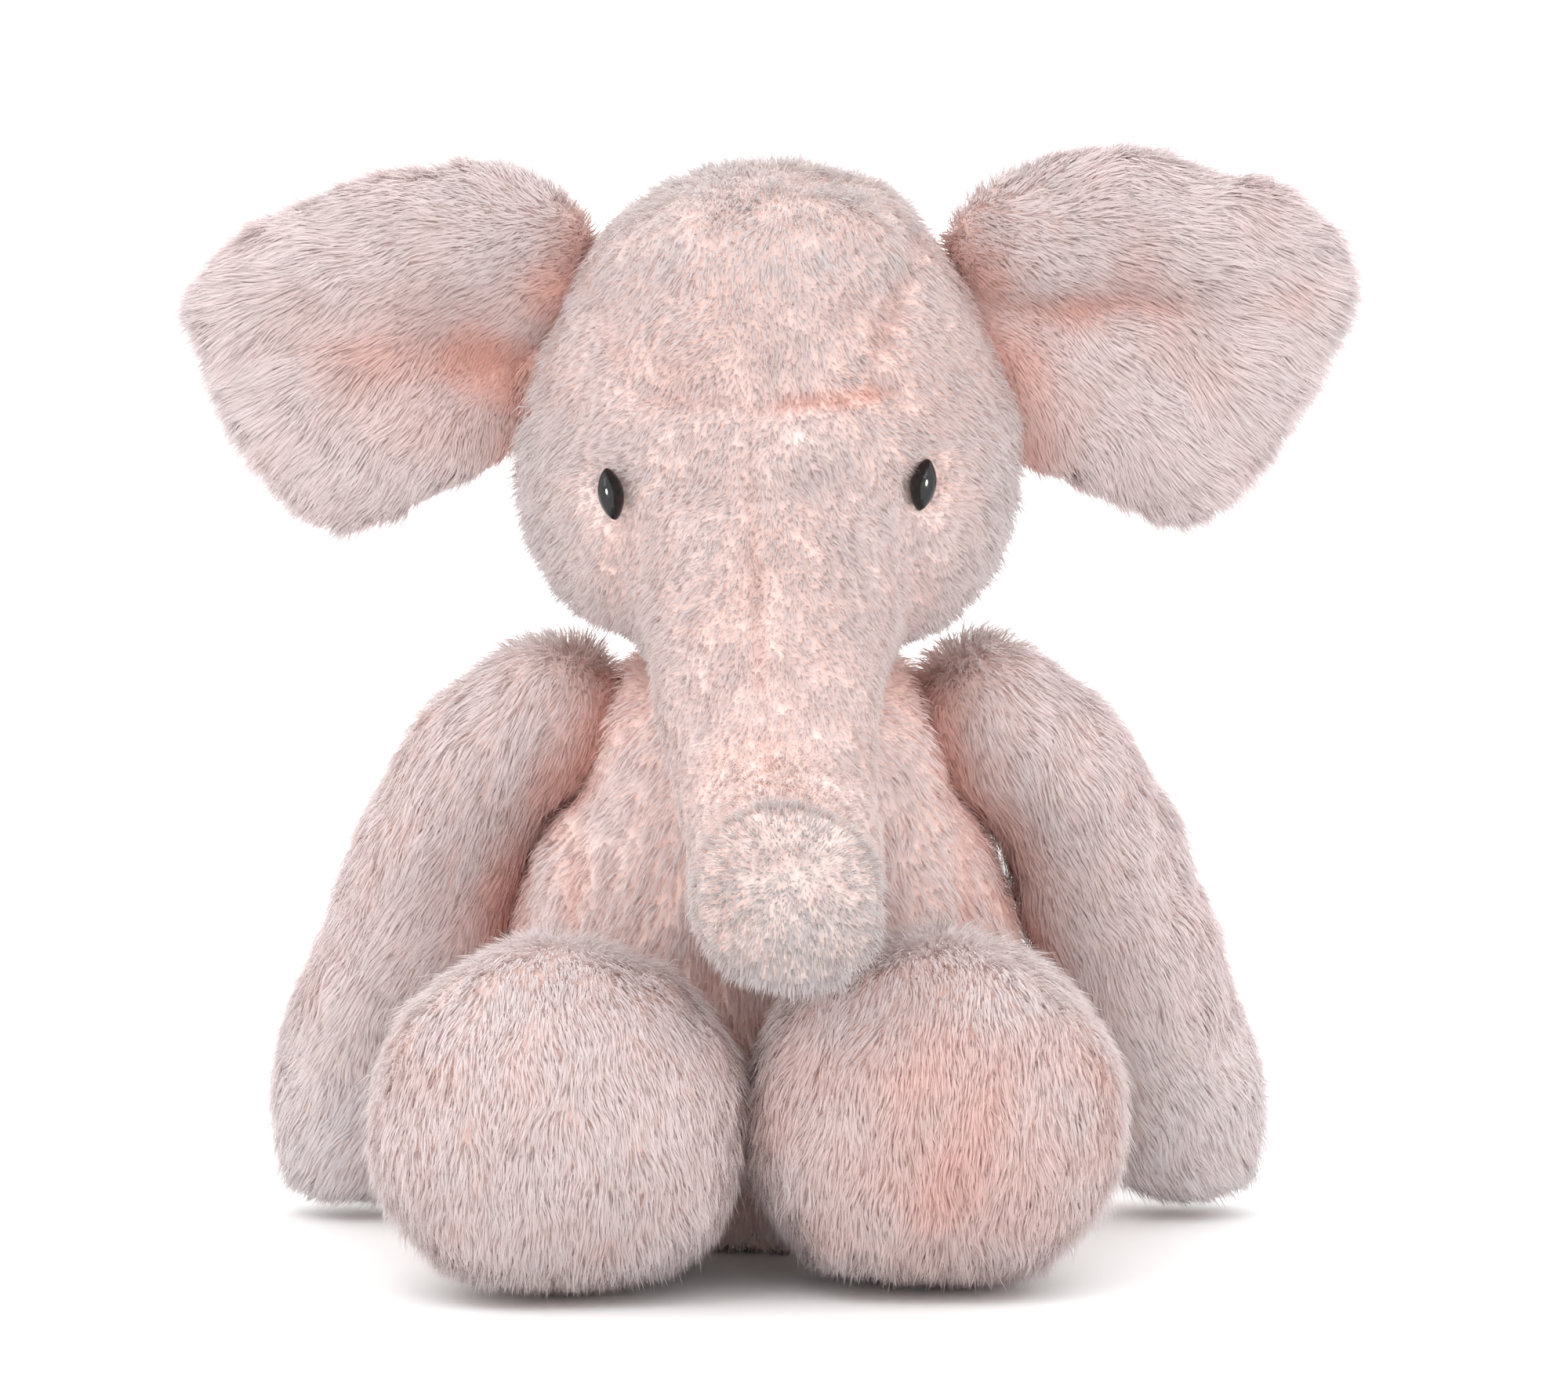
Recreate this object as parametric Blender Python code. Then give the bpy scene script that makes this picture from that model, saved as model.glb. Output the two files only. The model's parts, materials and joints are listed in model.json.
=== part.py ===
"""A sitting plush elephant, as its sewn panels, its stuffing and pellet bags, and its bead eyes.

Metres, +Z up. The face looks along -Y, left is -X, and the origin is the middle of the flat seat.
Each soft shape is a form: a sphere whose rings are laid along a route of stations. A form's skin is
cut into the panels it is sewn from, and the form drawn in by the skin's thickness is its stuffing.
What moves ends in a ball about its joint, and what it is sewn to has a round socket for the ball.
"""
import math
from dataclasses import dataclass

import bmesh
import bpy
import numpy as np
from mathutils import Matrix, Vector

MM = 0.001

SKIN = 2.0 * MM  # the plush fabric's backing
SEAM_GAP = 0.6 * MM  # between the edges of two panels
LINING_GAP = 0.9 * MM  # between the skin and what fills it
SOCKET_GAP = 1.2 * MM  # between a ball and its socket

# Joint centres, in millimetres.
NECK = (0, -8, 142)
TRUNK_ROOT = (0, -46, 154)
SHOULDER = {"left": (-49, -2, 112), "right": (48.5, -2, 112)}
HIP = {"left": (-30, -34, 34), "right": (26.5, -32, 34)}
EAR_ROOT = (46, -14, 198)  # the right one's middle; the left one mirrors it
EAR_ROOT_LINE = (-0.26, 0, 0.966)  # the right one's, pointing up along the head's side
TAIL_ROOT = (0, 44, 28)
TRUNK_HEADING = (0, -0.5, -0.866)  # the way the trunk leaves its joint
LEG_SPLAY = 0.2  # how far outwards a leg heads, for each length forwards

# Ball radii about those centres, in millimetres.
NECK_BALL = 27
TRUNK_BALL = 28
SHOULDER_BALL = 18
HIP_BALL = 24
TAIL_BALL = 7
TRUNK_WAY = 26  # how far the trunk's and the legs' sockets carry on
LEG_WAY = 22

# Ears, in millimetres.
EAR_EDGE = 4.5  # the radius of the root's rounded edge
EAR_SLOT = 5.0  # the radius of the slot in the head that takes it
EAR_SLOT_LENGTH = 60
EAR_TIP_X = 123
EAR_RISE = {"left": 1, "right": 10}  # how much higher an ear's outer end is than its root

# Where panels meet, in millimetres.
GUSSET_HALF_WIDTH = 32
BROW = (0, -68, 193)
NAPE = (0, 28, 165)
BELLY_HALF_WIDTH = 41
BELLY_SEAM_Y = -9
PELLET_TOP = 24  # the seat's pellet bag lies below this height
FOOT_BAG_DEPTH = 30  # from the sole back to the stuffing
SOLE_DEPTH = 13
TRUNK_TIP_DEPTH = 11

# Bead eyes.
EYE_PLACE = {"left": (-34.0, -55.5, 169.5), "right": (33.5, -55.5, 171.5)}
EYE_LOOKS = (0.554, -0.833, 0)  # the right one's; the left one mirrors it
EYE_RADIUS = 5.7 * MM
EYE_BACK = 2.5 * MM  # from the bead's middle to its flat back
SHANK_RADIUS = 1.8 * MM
SHANK_LENGTH = 11 * MM
WASHER_RADIUS = 5.0 * MM
WASHER_THICKNESS = 1.4 * MM
WASHER_BEHIND = 8.5 * MM  # from the bead's middle to the washer's front
EYE_GAP = 0.5 * MM


@dataclass
class Form:
    """Stations are (x, y, z, half width across, half width through), in millimetres."""

    stations: list
    across: tuple
    start_cap: float
    end_cap: float
    segments: int
    rings: int
    cup: float = 0.0
    sheared: bool = False  # rings keep to the across direction, square to the route or not


def pear_torso():
    return Form(
        stations=[
            (0, -6, 131, 36, 31),
            (0, -5, 117, 38, 34),
            (0, -4, 100, 40.5, 38),
            (-1, -3, 80, 49.5, 42),
            (-1, -2, 58, 56, 45),
            (-1, -2, 38, 56, 46),
            (-1, -2, 16, 52, 44),
            (-1, -2, -8, 46, 38),
        ],
        across=(1, 0, 0),
        start_cap=15,
        end_cap=13,
        segments=18,
        rings=13,
    )


def round_head():
    return Form(
        stations=[
            (0, -18, 235.5, 34, 30),
            (0, -19, 222, 36.5, 37),
            (0, -20, 208, 42.5, 43),
            (0, -21, 192, 50, 46.5),
            (0, -21, 176, 54, 47),
            (0, -20, 160, 51.5, 44),
            (0, -16, 146, 43.5, 38),
            (0, -10, 134, 26, 25),
            (0, -8, 118, 22, 22),
        ],
        across=(1, 0, 0),
        start_cap=17,
        end_cap=16,
        segments=20,
        rings=15,
    )


def long_trunk():
    root = Vector(TRUNK_ROOT)
    heading = Vector(TRUNK_HEADING)
    behind = root - heading * TRUNK_BALL
    return Form(
        stations=[
            (*behind, TRUNK_BALL, TRUNK_BALL),
            (*root, TRUNK_BALL, TRUNK_BALL),
            (0, -61, 133, 25, 24.5),
            (1, -74, 116, 21.5, 21),
            (3, -91, 101, 20.5, 20),
            (4, -109, 93, 21.5, 21),
            (4, -133, 90, 20, 20),
        ],
        across=(1, 0, 0),
        start_cap=TRUNK_BALL,
        end_cap=15,
        segments=14,
        rings=13,
    )


def arm(side):
    out = -1 if side == "left" else 1
    x, y, z = SHOULDER[side]
    return Form(
        stations=[
            (x - out * 13, y, z + 12.4, SHOULDER_BALL, SHOULDER_BALL),
            (x, y, z, SHOULDER_BALL, SHOULDER_BALL),
            (out * 65.8, 0, 98, 17, 17),
            (out * 72.5, 2, 79, 18.2, 18.2),
            (out * 79, 6, 59, 18.6, 18.6),
            (out * 85.5, 11, 41, 19, 19),
            (out * 88.5, 16, 24, 18.5, 19.5),
            (out * 88.5, 19, 3.5, 17, 18),
        ],
        across=(0, 1, 0),
        start_cap=SHOULDER_BALL,
        end_cap=18,
        segments=12,
        rings=12,
    )


def leg_heading(out):
    """The way a leg leaves its hip."""
    return Vector((out * LEG_SPLAY, -1, 0)).normalized()


def leg(side):
    out = -1 if side == "left" else 1
    x, y, z = HIP[side]
    foot_x = {"left": -46, "right": 37}[side]
    foot_y = {"left": -85, "right": -77}[side]
    return Form(
        stations=[
            (*(Vector((x, y, z)) - leg_heading(out) * HIP_BALL), HIP_BALL, HIP_BALL),
            (x, y, z, HIP_BALL, HIP_BALL),
            (x + out * 5, y - 24, z + 1, 25, 25),
            (foot_x - out * 3, foot_y + 14, 36, 34, 35.6),
            (foot_x, foot_y - 4, 38.5, 38.5, 36.7),
            (foot_x + out, foot_y - 22, 40.5, 36.5, 33.8),
            (foot_x + out, foot_y - 34, 42, 31, 28),
        ],
        across=(1, 0, 0),
        start_cap=HIP_BALL,
        end_cap=20,
        segments=16,
        rings=13,
    )


def ear(side):
    out = -1 if side == "left" else 1
    x, y, z = EAR_ROOT
    line = Vector(EAR_ROOT_LINE)
    root_half = EAR_SLOT_LENGTH / 2 - 1
    rows = [
        (x - EAR_EDGE, y, z, root_half, EAR_EDGE),
        (x + 3, y, z, root_half, EAR_EDGE),
        (60, -13, z + 1, 35.5, 5),
        (76, -13, z - 1, 42, 6),
        (92, -15, z + 1.5, 37.5, 6),
        (106, -18, z + 5, 25, 5.5),
        (116, -20, z + 8, 18, 5),
        (EAR_TIP_X, -21, z + 9, 14, 5),
    ]
    rises = [EAR_RISE[side] * ((row[0] - x) / (EAR_TIP_X - x)) ** 2 for row in rows]
    return Form(
        stations=[(out * row[0], row[1], row[2] + rise, *row[3:]) for row, rise in zip(rows, rises)],
        across=(out * line.x, line.y, line.z),
        start_cap=EAR_EDGE,
        end_cap=17,
        segments=18,
        rings=11,
        cup=9.0,
        sheared=True,
    )


def short_tail():
    x, y, z = TAIL_ROOT
    return Form(
        stations=[
            (x, y - 5.5, z + 4, TAIL_BALL, TAIL_BALL),
            (x, y, z, TAIL_BALL, TAIL_BALL),
            (0, 55, 19, 5.5, 5.5),
            (0, 63, 11, 6, 6),
            (0, 72, 7.5, 5.5, 5.5),
        ],
        across=(1, 0, 0),
        start_cap=TAIL_BALL,
        end_cap=6,
        segments=10,
        rings=9,
    )


def smooth_rows(rows, knots, at):
    """The rows of numbers read at a distance along them, through smooth cubic pieces."""
    slopes = np.gradient(rows, knots, axis=0)
    i = int(np.clip(np.searchsorted(knots, at) - 1, 0, len(knots) - 2))
    span = knots[i + 1] - knots[i]
    u = (at - knots[i]) / span
    here = rows[i] * (1 + 2 * u) * (1 - u) ** 2 + slopes[i] * span * u * (1 - u) ** 2
    there = rows[i + 1] * u**2 * (3 - 2 * u) + slopes[i + 1] * span * u**2 * (u - 1)
    return here + there


def cap_swell(distance, cap):
    """How much of its full radius a round end has at a distance from its tip."""
    if distance >= cap:
        return 1.0
    return math.sqrt(max(0.0, 1 - ((cap - distance) / cap) ** 2))


def face_out(bm):
    """Turns every face of a closed mesh outwards."""
    bmesh.ops.recalc_face_normals(bm, faces=bm.faces)
    if bm.calc_volume(signed=True) < 0:
        bmesh.ops.reverse_faces(bm, faces=bm.faces)


def form_bmesh(form, inset=0.0, leaf=0):
    """A closed mesh of the form; a leaf of 1 or -1 is only its front or its back half."""
    rows = np.array(form.stations, float) * MM
    steps = np.linalg.norm(np.diff(rows[:, :3], axis=0), axis=1)
    knots = np.concatenate([[0.0], np.cumsum(steps)])
    length = knots[-1]
    across = Vector(form.across).normalized()
    bm = bmesh.new()
    bmesh.ops.create_uvsphere(bm, u_segments=form.segments, v_segments=form.rings, radius=1)
    half_step = math.pi / form.segments
    nudge = 0.01 * length
    for vert in bm.verts:
        turn = math.atan2(vert.co.y, vert.co.x) + half_step
        along = length * (1 - max(-1.0, min(1.0, vert.co.z))) / 2
        row = smooth_rows(rows, knots, along)
        ahead = smooth_rows(rows, knots, min(length, along + nudge))[:3]
        back = smooth_rows(rows, knots, max(0.0, along - nudge))[:3]
        heading = Vector(ahead - back).normalized()
        side = across if form.sheared else (across - heading * across.dot(heading)).normalized()
        through = side.cross(heading).normalized()
        swell = cap_swell(along, form.start_cap * MM) * cap_swell(length - along, form.end_cap * MM)
        if vert.co.xy.length < 1e-4:
            swell = 0.0
        u = math.cos(turn)
        v = math.sin(turn)
        if leaf:
            v = leaf * max(0.0, leaf * v)
        bend = form.cup * MM * math.sin(math.pi * along / length) * (u * swell) ** 2
        gap = leaf * SEAM_GAP / 2
        vert.co = (
            Vector(row[:3])
            + side * (u * swell * row[3])
            + through * (v * swell * row[4] + gap)
            + Vector((0, -1, 0)) * bend
        )
    face_out(bm)
    if inset:
        bm.normal_update()
        moves = {vert: vert.normal * inset for vert in bm.verts}
        for vert, move in moves.items():
            vert.co -= move
    return bm


def keep_side(bm, point, normal):
    """Cuts a closed mesh with a plane, keeps what is ahead of the plane, and closes the cut."""
    everything = bm.verts[:] + bm.edges[:] + bm.faces[:]
    cut = bmesh.ops.bisect_plane(
        bm, geom=everything, dist=1e-7, plane_co=point, plane_no=normal, clear_inner=True
    )
    rim = [item for item in cut["geom_cut"] if isinstance(item, bmesh.types.BMEdge)]
    bmesh.ops.edgeloop_fill(bm, edges=rim)
    face_out(bm)


def to_mesh(bm, name):
    mesh = bpy.data.meshes.new(name)
    bm.to_mesh(mesh)
    bm.free()
    mesh.shade_smooth()
    mesh.set_sharp_from_angle(angle=math.radians(50))
    return mesh


def make_material(name, colour, roughness, metallic=0.0):
    material = bpy.data.materials.new(name)
    material.use_nodes = True
    shader = material.node_tree.nodes["Principled BSDF"]
    shader.inputs["Base Color"].default_value = (*colour, 1)
    shader.inputs["Roughness"].default_value = roughness
    shader.inputs["Metallic"].default_value = metallic
    return material


class Toy:
    """The collections, the joints' empties, and the tools that put pieces on them."""

    def __init__(self):
        scene = bpy.context.scene.collection
        self.parts = bpy.data.collections.new("plush_elephant")
        self.cutters = bpy.data.collections.new("cutters")
        scene.children.link(self.parts)
        scene.children.link(self.cutters)
        self.joints = {}

    def add_joint(self, name, place, parent=None):
        """An empty on the joint's centre, which the moving pieces hang from."""
        empty = bpy.data.objects.new(name, None)
        empty.empty_display_size = 10 * MM
        self.parts.objects.link(empty)
        point = Vector(place) * MM
        if parent:
            empty.parent = self.joints[parent][0]
            empty.location = point - self.joints[parent][1]
        else:
            empty.location = point
        self.joints[name] = (empty, point)

    def add_piece(self, name, mesh, joint, material):
        """A piece modelled in place, whose origin becomes its joint's centre."""
        empty, point = self.joints[joint]
        mesh.transform(Matrix.Translation(-point))
        piece = bpy.data.objects.new(name, mesh)
        piece.parent = empty
        mesh.materials.append(material)
        self.parts.objects.link(piece)
        return piece

    def add_cutter(self, name, mesh):
        cutter = bpy.data.objects.new(name, mesh)
        cutter.display_type = "WIRE"
        cutter.hide_render = True
        self.cutters.objects.link(cutter)
        return cutter

    def add_lining(self, name, form):
        """What a skin is hollowed with."""
        return self.add_cutter(name, to_mesh(form_bmesh(form, inset=SKIN), name))

    def add_socket(self, name, centre, radius, heading=(0, 0, 1), reach=0.0):
        """A ball's room about its joint, carried on along the way that the limb leaves by."""
        wide = radius + SOCKET_GAP / MM
        heading = Vector(heading).normalized()
        start = Vector(centre) - heading * wide
        end = Vector(centre) + heading * (reach + wide)
        form = Form(
            stations=[(*start.lerp(end, step / 3), wide, wide) for step in range(4)],
            across=heading.orthogonal(),
            start_cap=wide,
            end_cap=wide,
            segments=18,
            rings=14,
        )
        return self.add_cutter(name, to_mesh(form_bmesh(form), name))

    def add_block(self, name, low, high, tilt=0.0, pivot=(0, 0, 0)):
        """A box between two corners, turned about the X axis through a point."""
        bm = bmesh.new()
        bmesh.ops.create_cube(bm, size=1)
        low = Vector(low) * MM
        high = Vector(high) * MM
        bmesh.ops.scale(bm, verts=bm.verts, vec=high - low)
        bmesh.ops.translate(bm, verts=bm.verts, vec=(low + high) / 2)
        centre = Vector(pivot) * MM
        bmesh.ops.rotate(bm, verts=bm.verts, cent=centre, matrix=Matrix.Rotation(tilt, 3, "X"))
        return self.add_cutter(name, to_mesh(bm, name))


def cut_with(piece, cutters, operation="DIFFERENCE"):
    for cutter in cutters:
        step = piece.modifiers.new(cutter.name, "BOOLEAN")
        step.operation = operation
        step.solver = "EXACT"
        step.object = cutter


def panel(toy, name, form, joint, material, planes=(), inside=(), outside=()):
    """A sewn panel: the form between planes (point, inward normal), inside and outside of blocks."""
    bm = form_bmesh(form)
    for point, normal in planes:
        normal = Vector(normal).normalized()
        keep_side(bm, Vector(point) * MM + normal * SEAM_GAP / 2, normal)
    piece = toy.add_piece(name, to_mesh(bm, name), joint, material)
    cut_with(piece, inside, "INTERSECT")
    cut_with(piece, outside)
    return piece


def filling(toy, name, form, joint, material, planes=(), outside=()):
    """Stuffing or a pellet bag: the form drawn in clear of its skin, between planes."""
    bm = form_bmesh(form, inset=SKIN + LINING_GAP)
    for point, normal in planes:
        normal = Vector(normal).normalized()
        keep_side(bm, Vector(point) * MM + normal * LINING_GAP / 2, normal)
    piece = toy.add_piece(name, to_mesh(bm, name), joint, material)
    cut_with(piece, outside)
    return piece


def flipped(vector):
    return tuple(-value for value in vector)


def turned_bmesh(profile, steps=14):
    """A closed turned mesh from (radius, height) points that run down the outer side."""
    bm = bmesh.new()
    verts = [bm.verts.new((radius, 0, height)) for radius, height in profile]
    edges = [bm.edges.new(pair) for pair in zip(verts, verts[1:])]
    if profile[0][0] > 0:
        edges.append(bm.edges.new((verts[-1], verts[0])))
    bmesh.ops.spin(
        bm, geom=verts + edges, cent=(0, 0, 0), axis=(0, 0, 1), dvec=(0, 0, 0),
        angle=2 * math.pi, steps=steps, use_merge=True,
    )
    bmesh.ops.remove_doubles(bm, verts=bm.verts, dist=1e-7)
    face_out(bm)
    return bm


def dome_profile(radius, back):
    """A bead's round front, from its tip down to its flat back."""
    last = math.acos(-back / radius)
    turns = [last * i / 6 for i in range(7)]
    return [(radius * math.sin(turn), radius * math.cos(turn)) for turn in turns]


def eye_profile():
    """The bead with its flat back and the shank that holds it."""
    dome = dome_profile(EYE_RADIUS, EYE_BACK)
    return dome + [(SHANK_RADIUS, -EYE_BACK), (SHANK_RADIUS, -SHANK_LENGTH), (0, -SHANK_LENGTH)]


def eye_room_profile():
    """The room for the bead, its shank and its washer."""
    shank = SHANK_RADIUS + EYE_GAP
    front = -WASHER_BEHIND + EYE_GAP
    wide = WASHER_RADIUS + EYE_GAP
    end = -SHANK_LENGTH - EYE_GAP
    dome = dome_profile(EYE_RADIUS + EYE_GAP, EYE_BACK + EYE_GAP)
    neck = [(shank, -EYE_BACK - EYE_GAP), (shank, front)]
    return dome + neck + [(wide, front), (wide, end), (0, end)]


def washer_profile():
    inner = SHANK_RADIUS + EYE_GAP
    back = -WASHER_BEHIND - WASHER_THICKNESS
    return [
        (inner, -WASHER_BEHIND), (WASHER_RADIUS, -WASHER_BEHIND), (WASHER_RADIUS, back), (inner, back),
    ]


def placed(bm, name, side):
    """Turns a bead-eye shape made along +Z to look out of its place on the head."""
    look = Vector(EYE_LOOKS)
    if side == "left":
        look.x = -look.x
    turn = Vector((0, 0, 1)).rotation_difference(look).to_matrix().to_4x4()
    bm.transform(Matrix.Translation(Vector(EYE_PLACE[side]) * MM) @ turn)
    return to_mesh(bm, name)


def build_torso(toy, plush, fibre, pellets, sockets):
    form = pear_torso()
    lining = toy.add_lining("torso_lining", form)
    floor = toy.add_block("floor_cut", (-200, -200, -60), (200, 200, 0))
    gap = SEAM_GAP / 2 / MM
    wide = BELLY_HALF_WIDTH
    belly = toy.add_block("belly_inside", (-wide, -120, -20), (wide, BELLY_SEAM_Y, 180))
    around = toy.add_block(
        "belly_outside", (-wide - gap, -120, -20), (wide + gap, BELLY_SEAM_Y + gap, 180)
    )
    trims = [lining, floor, *sockets]
    panel(toy, "torso_belly_panel", form, "torso", plush, inside=[belly], outside=trims)
    for side, inward in (("left", (-1, 0, 0)), ("right", (1, 0, 0))):
        panel(
            toy, f"torso_{side}_side_panel", form, "torso", plush,
            planes=[((0, 0, 0), inward)], outside=[around, *trims],
        )
    bag_top = (0, 0, PELLET_TOP)
    base_top = (0, 0, SKIN / MM)
    filling(
        toy, "seat_base_panel", form, "torso", plush,
        planes=[(base_top, (0, 0, -1))], outside=[floor],
    )
    filling(
        toy, "seat_pellet_bag", form, "torso", pellets,
        planes=[(bag_top, (0, 0, -1)), (base_top, (0, 0, 1))], outside=sockets,
    )
    filling(
        toy, "torso_stuffing", form, "torso", fibre,
        planes=[(bag_top, (0, 0, 1))], outside=sockets,
    )


def build_head(toy, plush, fibre, sockets):
    form = round_head()
    lining = toy.add_lining("head_lining", form)
    seam = Vector(NAPE) - Vector(BROW)
    tilt = math.atan2(seam.z, seam.y)
    gap = SEAM_GAP / 2 / MM
    wide = GUSSET_HALF_WIDTH
    _, front, level = BROW
    gusset = toy.add_block(
        "gusset_inside", (-wide, front - 60, level), (wide, front + 200, level + 120), tilt, BROW
    )
    around = toy.add_block(
        "gusset_outside",
        (-wide - gap, front - 60, level - gap), (wide + gap, front + 200, level + 120), tilt, BROW,
    )
    rooms = []
    for side in ("left", "right"):
        room = placed(turned_bmesh(eye_room_profile()), f"{side}_eye_room", side)
        rooms.append(toy.add_cutter(room.name, room))
    trims = [lining, *sockets, *rooms]
    panel(toy, "forehead_gusset", form, "neck", plush, inside=[gusset], outside=[lining, *sockets])
    for side, inward in (("left", (-1, 0, 0)), ("right", (1, 0, 0))):
        panel(
            toy, f"head_{side}_panel", form, "neck", plush,
            planes=[((0, 0, 0), inward)], outside=[around, *trims],
        )
    filling(toy, "head_stuffing", form, "neck", fibre, outside=[*sockets, *rooms])


def build_eyes(toy, black, plastic):
    for side in ("left", "right"):
        bead = placed(turned_bmesh(eye_profile()), f"{side}_eye", side)
        toy.add_piece(bead.name, bead, "neck", black)
        washer = placed(turned_bmesh(washer_profile()), f"{side}_eye_washer", side)
        toy.add_piece(washer.name, washer, "neck", plastic)


def build_trunk(toy, plush, pale, fibre):
    form = long_trunk()
    lining = toy.add_lining("trunk_lining", form)
    end = Vector(form.stations[-1][:3])
    before = Vector(form.stations[-2][:3])
    heading = (end - before).normalized()
    tip = end - heading * TRUNK_TIP_DEPTH
    middle = ((2, 0, 0), (1, 0, 0))
    for side, plane in (("right", middle), ("left", (middle[0], flipped(middle[1])))):
        panel(
            toy, f"trunk_{side}_panel", form, "trunk_root", plush,
            planes=[plane, (tip, flipped(heading))], outside=[lining],
        )
    panel(
        toy, "trunk_tip_disc", form, "trunk_root", pale,
        planes=[(tip, heading)], outside=[lining],
    )
    filling(toy, "trunk_stuffing", form, "trunk_root", fibre)


def build_ears(toy, plush):
    for side in ("left", "right"):
        out = -1 if side == "left" else 1
        for name, leaf in (("front", -out), ("back", out)):
            bm = form_bmesh(ear(side), leaf=leaf)
            label = f"{side}_ear_{name}_panel"
            toy.add_piece(label, to_mesh(bm, label), f"{side}_ear_root", plush)


def build_arms(toy, plush, fibre):
    for side in ("left", "right"):
        out = -1 if side == "left" else 1
        form = arm(side)
        joint = f"{side}_shoulder"
        lining = toy.add_lining(f"{side}_arm_lining", form)
        middle = Vector(form.stations[4][:3])
        outward = Vector((out * 0.90, 0, 0.43))
        for name, normal in (("outer", outward), ("inner", -outward)):
            panel(
                toy, f"{side}_arm_{name}_panel", form, joint, plush,
                planes=[(middle, normal)], outside=[lining],
            )
        filling(toy, f"{side}_arm_stuffing", form, joint, fibre)


def build_legs(toy, plush, fibre, pellets, floor):
    for side in ("left", "right"):
        out = -1 if side == "left" else 1
        form = leg(side)
        joint = f"{side}_hip"
        lining = toy.add_lining(f"{side}_leg_lining", form)
        sole = Vector(form.stations[-1][:3])
        hip = Vector(HIP[side])
        heading = sole - hip
        outward = Vector((-heading.y * out, heading.x * out, 0)).normalized()
        edge = sole + Vector((0, SOLE_DEPTH, 0))
        ahead = (0, -1, 0)
        for name, normal in (("outer", outward), ("inner", -outward)):
            panel(
                toy, f"{side}_leg_{name}_panel", form, joint, plush,
                planes=[(hip, normal), (edge, flipped(ahead))], outside=[lining, floor],
            )
        panel(
            toy, f"{side}_foot_sole", form, joint, plush,
            planes=[(edge, ahead)], outside=[lining, floor],
        )
        bag_back = sole + Vector((0, FOOT_BAG_DEPTH, 0))
        filling(
            toy, f"{side}_foot_pellet_bag", form, joint, pellets, planes=[(bag_back, ahead)],
        )
        filling(
            toy, f"{side}_leg_stuffing", form, joint, fibre, planes=[(bag_back, flipped(ahead))],
        )


def build_tail(toy, plush):
    bm = form_bmesh(short_tail())
    toy.add_piece("tail", to_mesh(bm, "tail"), "tail_root", plush)


def main():
    for item in list(bpy.data.objects):
        bpy.data.objects.remove(item, do_unlink=True)
    toy = Toy()
    plush = make_material("pink_plush", (0.80, 0.64, 0.61), 0.9)
    pale = make_material("pale_plush", (0.80, 0.74, 0.71), 0.9)
    fibre = make_material("stuffing_fibre", (0.88, 0.88, 0.86), 0.95)
    pellets = make_material("pellet_bag_cloth", (0.78, 0.76, 0.72), 0.85)
    black = make_material("black_bead", (0.01, 0.01, 0.012), 0.08)
    plastic = make_material("washer_plastic", (0.7, 0.7, 0.68), 0.5)

    toy.add_joint("torso", (0, 0, 0))
    toy.add_joint("neck", NECK, "torso")
    toy.add_joint("trunk_root", TRUNK_ROOT, "neck")
    toy.add_joint("tail_root", TAIL_ROOT, "torso")
    x, y, z = EAR_ROOT
    body_sockets = [
        toy.add_socket("neck_socket", NECK, NECK_BALL),
        toy.add_socket("tail_socket", TAIL_ROOT, TAIL_BALL),
    ]
    head_sockets = [
        toy.add_socket("trunk_socket", TRUNK_ROOT, TRUNK_BALL, TRUNK_HEADING, TRUNK_WAY)
    ]
    for side, out in (("left", -1), ("right", 1)):
        toy.add_joint(f"{side}_shoulder", SHOULDER[side], "torso")
        toy.add_joint(f"{side}_hip", HIP[side], "torso")
        toy.add_joint(f"{side}_ear_root", (out * x, y, z), "neck")
        body_sockets.append(toy.add_socket(f"{side}_shoulder_socket", SHOULDER[side], SHOULDER_BALL))
        body_sockets.append(
            toy.add_socket(f"{side}_hip_socket", HIP[side], HIP_BALL, leg_heading(out), LEG_WAY)
        )
        line = Vector((out * EAR_ROOT_LINE[0], EAR_ROOT_LINE[1], EAR_ROOT_LINE[2]))
        foot = Vector((out * x, y, z)) - line * (EAR_SLOT_LENGTH / 2)
        head_sockets.append(
            toy.add_socket(f"{side}_ear_slot", foot, EAR_SLOT, line, EAR_SLOT_LENGTH)
        )

    build_torso(toy, plush, fibre, pellets, body_sockets)
    build_head(toy, plush, fibre, head_sockets)
    build_eyes(toy, black, plastic)
    build_trunk(toy, plush, pale, fibre)
    build_ears(toy, plush)
    build_arms(toy, plush, fibre)
    build_legs(toy, plush, fibre, pellets, bpy.data.objects["floor_cut"])
    build_tail(toy, plush)


main()
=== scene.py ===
"""The looks of the sitting plush elephant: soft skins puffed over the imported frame, and their pile.

The frame is in metres, +Z up, and the face looks along -Y. Each body of the frame gets a skin: its
CAD panels and stuffing, remeshed into one soft form, puffed by a short cloth simulation and given
its seams and creases. The pile is real geometry: a thin, tapered, bent blade for each tuft of
fibres, combed along its skin. Each blade carries four numbers for its material: how far along it
a point is, a random shade, how peach it is and how pale it is.
"""

import json
import math

import bmesh
import bpy
import numpy as np
from mathutils import Matrix, Vector, kdtree
from mathutils.bvhtree import BVHTree


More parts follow.
